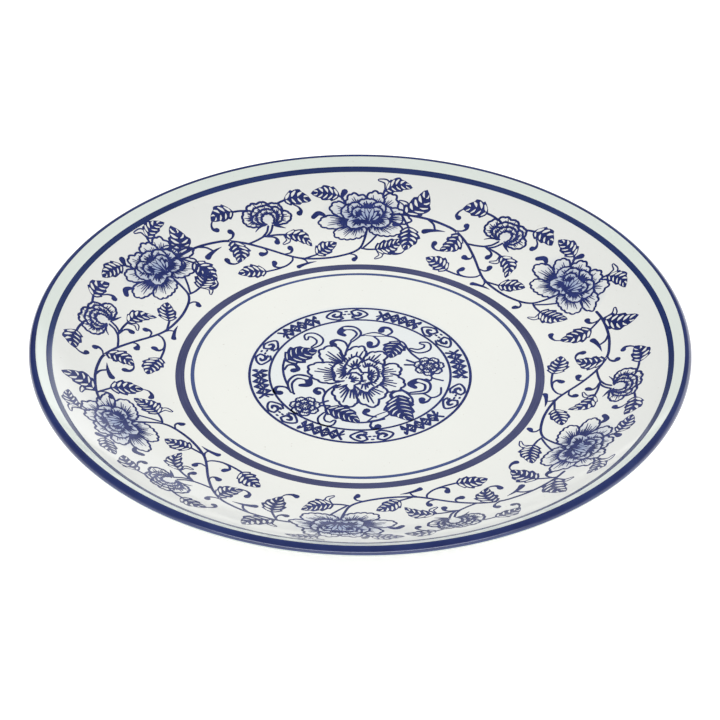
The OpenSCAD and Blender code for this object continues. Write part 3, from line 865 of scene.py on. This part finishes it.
def painted_line(name, line, phase):
    """A banded line on the food side: a low ridge of colour with slightly uneven edges."""
    middle, width = line
    # Points over the ridge: share of its width, and share of its rise
    ridge = ((0, 0.004), (0.08, 0.8), (0.3, 1), (0.7, 1), (0.92, 0.8), (1, 0.004))

    def section_at(turn):
        """The line's section at a turn in radians."""
        inner = middle - width / 2 + UNEVEN * waver(turn, phase)
        outer = middle + width / 2 + UNEVEN * waver(turn, phase + 2.0)
        out = []
        for share, height in ridge:
            r = inner + (outer - inner) * share
            z, (outward, up) = food_side(r)
            out.append((r + outward * height * PAINT_RISE, z + up * height * PAINT_RISE))
        for r in (outer, (inner + outer) / 2, inner):
            z, (outward, up) = food_side(r)
            out.append((r - outward * PAINT_SINK, z - up * PAINT_SINK))
        return out

    return lathe(name, section_at)


def make_edge_band():
    """The broad brushed band over the lip; both its edges run a little uneven."""
    thickness = 0.12

    def section_at(turn):
        """The band's section at a turn in radians."""
        low = math.pi / 2 - EDGE_DROP + math.radians(3) * waver(turn, 1.0)
        high = math.pi / 2 + EDGE_TOP + math.radians(2) * waver(turn, 3.0)
        face = lip_line(0.0, low, high, 20)
        back = lip_line(thickness, low, high, 10)
        return face + back[::-1]

    return lathe("edge_band_paint", section_at)


# ---- Materials ----

class Nodes:
    """Short calls for building one procedural material."""

    def __init__(self, name):
        """Starts a material with one plain shader."""
        self.material = bpy.data.materials.new(name)
        self.material.use_nodes = True
        self.tree = self.material.node_tree
        self.shader = self.tree.nodes["Principled BSDF"]

    def set(self, **values):
        """Sets the shader's own values."""
        for key, value in values.items():
            self.shader.inputs[key.replace("_", " ")].default_value = value

    def node(self, kind, **inputs):
        """A new node whose inputs are values or other nodes' outputs."""
        node = self.tree.nodes.new(kind)
        for key, value in inputs.items():
            self.plug(node.inputs[key.replace("_", " ")], value)
        return node

    def plug(self, socket, value):
        """Links an output to a socket, or sets the socket to a plain value."""
        if isinstance(value, bpy.types.NodeSocket):
            self.tree.links.new(value, socket)
        else:
            socket.default_value = value

    def place(self):
        """Position in the dish's frame, in metres."""
        return self.node("ShaderNodeTexCoord").outputs["Object"]

    def noise(self, where, scale, detail=3.0, roughness=0.5):
        """Cloudy noise between 0 and 1."""
        return self.node("ShaderNodeTexNoise", Vector=where, Scale=scale, Detail=detail,
                         Roughness=roughness).outputs["Fac"]

    def math(self, operation, a, b=0.0):
        """The result of an operation on one or two values."""
        node = self.tree.nodes.new("ShaderNodeMath")
        node.operation = operation
        self.plug(node.inputs[0], a)
        self.plug(node.inputs[1], b)
        return node.outputs[0]

    def plus(self, a, b):
        """The sum of two values."""
        return self.math("ADD", a, b)

    def times(self, a, b):
        """The product of two values."""
        return self.math("MULTIPLY", a, b)

    def span(self, value, low, high, to_low=0.0, to_high=1.0):
        """A ramp over a value, clamped, from to_low where it is low to to_high where it is high."""
        node = self.tree.nodes.new("ShaderNodeMapRange")
        for key, number in (("From Min", low), ("From Max", high), ("To Min", to_low), ("To Max", to_high)):
            node.inputs[key].default_value = number
        self.plug(node.inputs["Value"], value)
        return node.outputs["Result"]

    def mix(self, share, a, b):
        """A colour that goes from a to b as the share goes from 0 to 1."""
        node = self.tree.nodes.new("ShaderNodeMix")
        node.data_type = "RGBA"
        self.plug(node.inputs[0], share)
        for socket, colour in ((node.inputs[6], a), (node.inputs[7], b)):
            self.plug(socket, colour if isinstance(colour, bpy.types.NodeSocket) else (*colour, 1.0))
        return node.outputs[2]

    def bump(self, height, strength, distance):
        """Gives the surface fine relief."""
        node = self.node("ShaderNodeBump", Height=height, Strength=strength, Distance=distance)
        self.plug(self.shader.inputs["Normal"], node.outputs["Normal"])

    def colour(self, value):
        """Sets the shader's base colour."""
        self.plug(self.shader.inputs["Base Color"], value)

    def roughness(self, value):
        """Sets the shader's roughness."""
        self.plug(self.shader.inputs["Roughness"], value)

    def patchy_roughness(self, scale, low, high):
        """Lets the roughness drift between low and high over the surface."""
        self.roughness(self.span(self.noise(self.place(), scale), 0.3, 0.7, low, high))

    def xyz(self):
        """The three coordinates in the dish's frame, in metres."""
        return self.node("ShaderNodeSeparateXYZ", Vector=self.place()).outputs

    def radius(self):
        """Distance from the dish's axis, in metres."""
        x, y, _ = self.xyz()
        return self.math("SQRT", self.plus(self.times(x, x), self.times(y, y)))

    def brushed(self, along, across):
        """Noise drawn out around the axis like the streaks of a banding brush."""
        x, y, _ = self.xyz()
        r = self.radius()
        where = self.node("ShaderNodeCombineXYZ", X=self.math("DIVIDE", x, r), Y=self.math("DIVIDE", y, r),
                          Z=self.times(r, across))
        return self.noise(where.outputs[0], along, detail=4.0)


# Colours of the glaze: on the floor, up the wall, at the lip, in clouds, in the medallion, in the garlands'
# flowers, and in pinholes
GLAZE_MIDDLE = (0.765, 0.773, 0.728)
GLAZE_WALL = (0.708, 0.717, 0.690)
GLAZE_LIP = (0.655, 0.712, 0.665)
GLAZE_CLOUD = (0.700, 0.715, 0.690)
GLAZE_HAZE = (0.640, 0.695, 0.740)
GLAZE_WASH = (0.250, 0.320, 0.500)
GLAZE_PORE = (0.50, 0.47, 0.42)
# Pale washes inside a garland's flowers: middle, half width, half height (all drawn flat), and strength
WASHES = [((0.0, 0.5), 19.5, 12.5, 0.9), (SMALL_FLOWER, 9.8, 6.2, 0.2)]


def wash_share(n):
    """How strong the thin blue wash is that shades the flowers on the wall: none at their petals' tips."""
    share = 0.0
    for turn, outward in GARLANDS:
        for (x, y), half_width, half_height, strength in WASHES:
            angle = math.radians(turn) + x / GARLAND_R
            radius = (GARLAND_R + y + outward) * MM
            oval = n.node("ShaderNodeMapping", Vector=n.place(),
                          Location=(radius * math.sin(angle), radius * math.cos(angle), 0.0),
                          Rotation=(0.0, 0.0, -angle), Scale=(half_width * MM, half_height * MM, 1.0))
            oval.vector_type = "TEXTURE"
            away = n.node("ShaderNodeVectorMath", Vector=oval.outputs[0])
            away.operation = "LENGTH"
            share = n.math("MAXIMUM", share, n.span(away.outputs["Value"], 1.0, 0.1, 0.0, strength))
    facing = n.node("ShaderNodeNewGeometry").outputs["Normal"]
    upward = n.node("ShaderNodeSeparateXYZ", Vector=facing).outputs[2]
    return n.times(share, n.span(upward, 0.0, 0.2))


def glaze_material():
    """Clear blue-white glaze over white china.

    It is deeper in tint on the wall, greener at the lip, faintly blue in the medallion, and has a thin blue
    wash inside the garlands' flowers.
    """
    n = Nodes("glaze")
    wall = n.span(n.radius(), 0.066, 0.110)
    lip = n.span(n.radius(), 0.1195, 0.1235)
    ground = n.mix(lip, n.mix(wall, GLAZE_MIDDLE, GLAZE_WALL), GLAZE_LIP)
    clouds = n.span(n.noise(n.place(), 26.0, 4.0), 0.35, 0.65, 0.0, 0.25)
    clouded = n.mix(clouds, ground, GLAZE_CLOUD)
    haze = n.span(n.plus(n.radius(), n.times(clouds, 0.006)), 0.0462, 0.0445, 0.0, 0.45)
    height = n.xyz()[2]
    on_top = n.span(height, 0.0070, 0.0080)
    clouded = n.mix(n.times(haze, on_top), clouded, GLAZE_HAZE)
    clouded = n.mix(wash_share(n), clouded, GLAZE_WASH)
    pores = n.span(n.noise(n.place(), 900.0, 1.0), 0.745, 0.80, 0.0, 0.5)
    n.colour(n.mix(pores, clouded, GLAZE_PORE))
    n.patchy_roughness(60.0, 0.05, 0.11)
    n.bump(n.noise(n.place(), 110.0, 2.0), 0.10, 0.0006)
    n.set(IOR=1.5, Coat_Weight=0.3, Coat_Roughness=0.03)
    return n.material


def cobalt_material(name, deep, paler_blue, streaky=False):
    """Cobalt under a gloss glaze, darker where the colour pooled and paler where it lies thin."""
    n = Nodes(name)
    pooling = n.brushed(5.0, 900.0) if streaky else n.noise(n.place(), 420.0, 4.0, 0.6)
    washes = n.noise(n.place(), 45.0, 2.0)
    thinness = n.plus(n.times(pooling, 0.65), n.times(washes, 0.35))
    n.colour(n.mix(n.span(thinness, 0.38, 0.66), deep, paler_blue))
    n.patchy_roughness(150.0, 0.08, 0.17)
    n.bump(pooling, 0.12, 0.00004)
    n.set(IOR=1.5, Coat_Weight=0.4, Coat_Roughness=0.04)
    return n.material


def edge_material():
    """The lip's cobalt, pooled dark at the top; paler down the outside as a painted reflection of the
    ground.
    """
    # The second blue here is a painted reflection of the white ground, laid low on the lip's outside.
    pooled, paler_blue, washed = (0.010, 0.018, 0.095), (0.045, 0.080, 0.230), (0.028, 0.050, 0.180)
    n = Nodes("edge_blue")
    height = n.xyz()[2]
    streaks = n.brushed(6.0, 1300.0)
    # Painted reflection: from about the lip's middle height down, the blue turns paler, standing in for the
    # white ground mirrored there; streaks make the change uneven.
    painted_reflection_level = n.plus(height, n.times(streaks, 0.0012))
    share = n.span(painted_reflection_level, 0.0264, 0.0248)
    shade = n.mix(share, pooled, paler_blue)
    washes = n.span(n.noise(n.place(), 60.0, 3.0), 0.35, 0.7, 0.0, 0.4)
    n.colour(n.mix(washes, shade, washed))
    n.patchy_roughness(120.0, 0.08, 0.18)
    n.bump(streaks, 0.10, 0.00006)
    n.set(IOR=1.5, Coat_Weight=0.4, Coat_Roughness=0.05)
    return n.material


def clay_material():
    """Unglazed biscuit at the foot: dry, warm and finely pitted, a little grimed by use."""
    dark, pale, dirt = (0.60, 0.53, 0.42), (0.74, 0.69, 0.59), (0.33, 0.27, 0.20)
    n = Nodes("clay")
    grain = n.noise(n.place(), 1500.0, 3.0, 0.7)
    grime = n.span(n.noise(n.place(), 90.0, 5.0), 0.5, 0.75, 0.0, 0.7)
    n.colour(n.mix(grime, n.mix(grain, dark, pale), dirt))
    n.roughness(n.span(grain, 0.3, 0.7, 0.62, 0.85))
    n.bump(grain, 0.5, 0.0001)
    return n.material


def backdrop_material():
    """White paper that glows a little, so that the ground stays white up to the dish."""
    n = Nodes("backdrop")
    paper = n.span(n.noise(n.place(), 400.0, 2.0), 0.3, 0.7)
    n.colour(n.mix(paper, (0.86, 0.86, 0.86), (0.88, 0.88, 0.88)))
    n.set(Emission_Color=(1.0, 1.0, 1.0, 1.0), Emission_Strength=0.36)
    n.roughness(0.9)
    n.bump(paper, 0.05, 0.0001)
    return n.material


def finish_piece(piece, material, material_slot, *nodes):
    """Gives a piece its material and puts it in the place of its CAD nodes; the slot that it is given is
    not used.
    """
    piece.data.materials.append(material)
    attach(piece, "root")
    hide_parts(*nodes)


# ---- The platter ----

glaze = glaze_material()
clay = clay_material()
print_blue = cobalt_material("print_blue", (0.006, 0.014, 0.095), (0.022, 0.034, 0.160))
line_blue = cobalt_material("line_blue", (0.008, 0.020, 0.090), (0.022, 0.040, 0.150), streaky=True)
wash_blue = cobalt_material("wash_blue", (0.045, 0.067, 0.174), (0.060, 0.090, 0.235), streaky=True)
verge_blue = cobalt_material("verge_blue", (0.036, 0.041, 0.110), (0.070, 0.078, 0.168), streaky=True)
edge_blue = edge_material()

finish_piece(make_body(), clay, "clay", "porcelain_body")
make_glaze()
for skin in ("glaze_outer_skin", "glaze_recess_skin"):
    finish_piece(bpy.data.objects[skin], glaze, "glaze", "glaze_coat")
finish_piece(make_edge_band(), edge_blue, "edge_blue", "edge_band")
finish_piece(painted_line("rim_line_paint", RIM_LINE, 0.4), line_blue, "line_blue", "rim_line")
finish_piece(painted_line("verge_band_paint", VERGE_BAND, 1.7), verge_blue, "verge_blue", "verge_band")
finish_piece(painted_line("verge_line_paint", VERGE_LINE, 2.9), wash_blue, "line_blue", "verge_line")


def on_wall(turn, outward):
    """How a garland lies on the wall, its flower at a clockwise turn from +Y and laid further out."""
    def place(x, y, height):
        """The point in space for a point of the garland's drawing, at a height above the wall."""
        return on_food_side(GARLAND_R + y + outward, math.radians(turn) + x / GARLAND_R, height)

    return place


def on_floor(x, y, height):
    """A point of the medallion's drawing where it lies on the flat floor, or above it by a height."""
    return (x, y + MEDALLION_Y, FLOOR_Z + height)


garland_ink = garland()
for number, (turn, outward) in enumerate(GARLANDS, start=1):
    piece = printed(f"garland_print_{number}", garland_ink, on_wall(turn, outward))
    finish_piece(piece, print_blue, "print_blue", f"garland_{number}")

medallion_parts = (
    ("medallion_border", border()),
    ("medallion_flower", medallion()),
    ("medallion_outer_line", ring(MEDALLION_OUTER)),
    ("medallion_inner_line", ring(MEDALLION_INNER)),
)
for name, ink in medallion_parts:
    finish_piece(printed(name + "_print", ink, on_floor), print_blue, "print_blue", name)


# ---- Stage, light and camera ----

def area_light(name, place, target, size, power, colour):
    """A soft square lamp that lights the dish without showing in its glaze."""
    light = bpy.data.lights.new(name, "AREA")
    light.shape = "SQUARE"
    light.size = size
    light.energy = power
    light.color = colour
    lamp = bpy.data.objects.new(name, light)
    lamp.location = place
    lamp.rotation_euler = (Vector(target) - Vector(place)).to_track_quat("-Z", "Y").to_euler()
    lamp.visible_glossy = False
    bpy.context.collection.objects.link(lamp)


def look_at_dish():
    """The camera, 1.2 m from the middle of the floor and 37 degrees up, rolled by half a degree."""
    distance, raised, sideways = 1.1967, 0.00454, 0.00001
    up, roll = math.radians(37.165), math.radians(0.496)
    right = Vector((1, 0, 0))
    upward = Vector((0, math.sin(up), math.cos(up)))
    back = Vector((0, -math.cos(up), math.sin(up)))
    x_axis = right * math.cos(roll) + upward * math.sin(roll)
    y_axis = upward * math.cos(roll) - right * math.sin(roll)
    place = Vector((0, 0, FLOOR_Z * MM)) + back * distance + y_axis * raised - x_axis * sideways
    data = bpy.data.cameras.new("camera")
    data.lens = 150.8
    data.sensor_width = 36
    camera = bpy.data.objects.new("camera", data)
    camera.matrix_world = Matrix((x_axis, y_axis, back)).transposed().to_4x4()
    camera.location = place
    bpy.context.collection.objects.link(camera)
    bpy.context.scene.camera = camera


def dim_tent():
    """A grey tent round the dish, seen only in the glaze's reflections.

    Its cloth is near black and glows: paler low down, bright at the back right and dark at the back left,
    with a brightly glowing gap in front.
    """
    rings, sides, size = 10, 32, 3.0
    gap_glow, right_glow, left_shade = 22.0, 4.2, 0.85
    points = []
    for i in range(rings):
        up = math.radians(4 + 86 * i / rings)
        for k in range(sides):
            turn = 2 * math.pi * k / sides
            points.append((size * math.cos(up) * math.cos(turn), size * math.cos(up) * math.sin(turn),
                           size * math.sin(up)))
    top = len(points)
    points.append((0.0, 0.0, size))
    faces = []
    for i in range(rings - 1):
        low, high = i * sides, (i + 1) * sides
        faces += [(low + k, low + (k + 1) % sides, high + (k + 1) % sides, high + k) for k in range(sides)]
    last = (rings - 1) * sides
    faces += [(last + k, last + (k + 1) % sides, top) for k in range(sides)]
    mesh = bpy.data.meshes.new("tent")
    mesh.from_pydata(points, [], faces)
    n = Nodes("tent_cloth")
    across, depth, height = n.xyz()
    weave = n.noise(n.place(), 3.0, 2.0)
    n.colour(n.mix(weave, (0.02, 0.02, 0.02), (0.03, 0.03, 0.03)))
    n.roughness(1.0)
    glow = n.mix(n.span(height, 0.2, 1.6), (0.44, 0.45, 0.47), (0.15, 0.16, 0.18))
    n.plug(n.shader.inputs["Emission Color"], glow)
    gap_height = n.times(n.span(height, 0.46, 0.56), n.span(height, 1.05, 0.95))
    in_front = n.times(n.span(depth, -1.6, -2.3), gap_height)
    behind = n.span(depth, 0.8, 1.6)
    low_behind = n.times(behind, n.span(height, 1.2, 0.9))
    back_right = n.times(n.span(across, -0.1, 1.6), low_behind)
    back_left = n.times(n.span(across, -0.6, -1.4), behind)
    lit = n.plus(n.times(in_front, gap_glow), n.times(back_right, right_glow))
    shaded = n.math("SUBTRACT", 1.0, n.times(back_left, left_shade))
    n.plug(n.shader.inputs["Emission Strength"], n.times(n.plus(1.0, lit), shaded))
    mesh.materials.append(n.material)
    tent = bpy.data.objects.new("tent", mesh)
    tent.visible_camera = False
    tent.visible_diffuse = False
    tent.visible_shadow = False
    tent.visible_transmission = False
    bpy.context.collection.objects.link(tent)


def set_stage():
    """A pale ground far wider than the dish, an even white sky, two soft lamps and the reflected tent."""
    mesh = bpy.data.meshes.new("backdrop")
    size, under = 6.0, -0.00005
    corners = [(-size, -size, under), (size, -size, under), (size, size, under), (-size, size, under)]
    mesh.from_pydata(corners, [], [(0, 1, 2, 3)])
    backdrop = bpy.data.objects.new("backdrop", mesh)
    mesh.materials.append(backdrop_material())
    bpy.context.collection.objects.link(backdrop)
    world = bpy.data.worlds.new("studio")
    world.use_nodes = True
    world.node_tree.nodes["Background"].inputs["Color"].default_value = (1.0, 1.0, 1.0, 1.0)
    world.node_tree.nodes["Background"].inputs["Strength"].default_value = 1.0
    bpy.context.scene.world = world
    area_light("key", (-0.9, 0.8, 1.3), (0, 0, 0.02), 0.8, 7.0, (1.0, 0.99, 0.97))
    area_light("fill", (1.0, 0.5, 1.15), (0, 0, 0.02), 1.0, 4.0, (0.98, 0.99, 1.0))
    bpy.context.scene.view_settings.view_transform = "Standard"
    dim_tent()


set_stage()
look_at_dish()
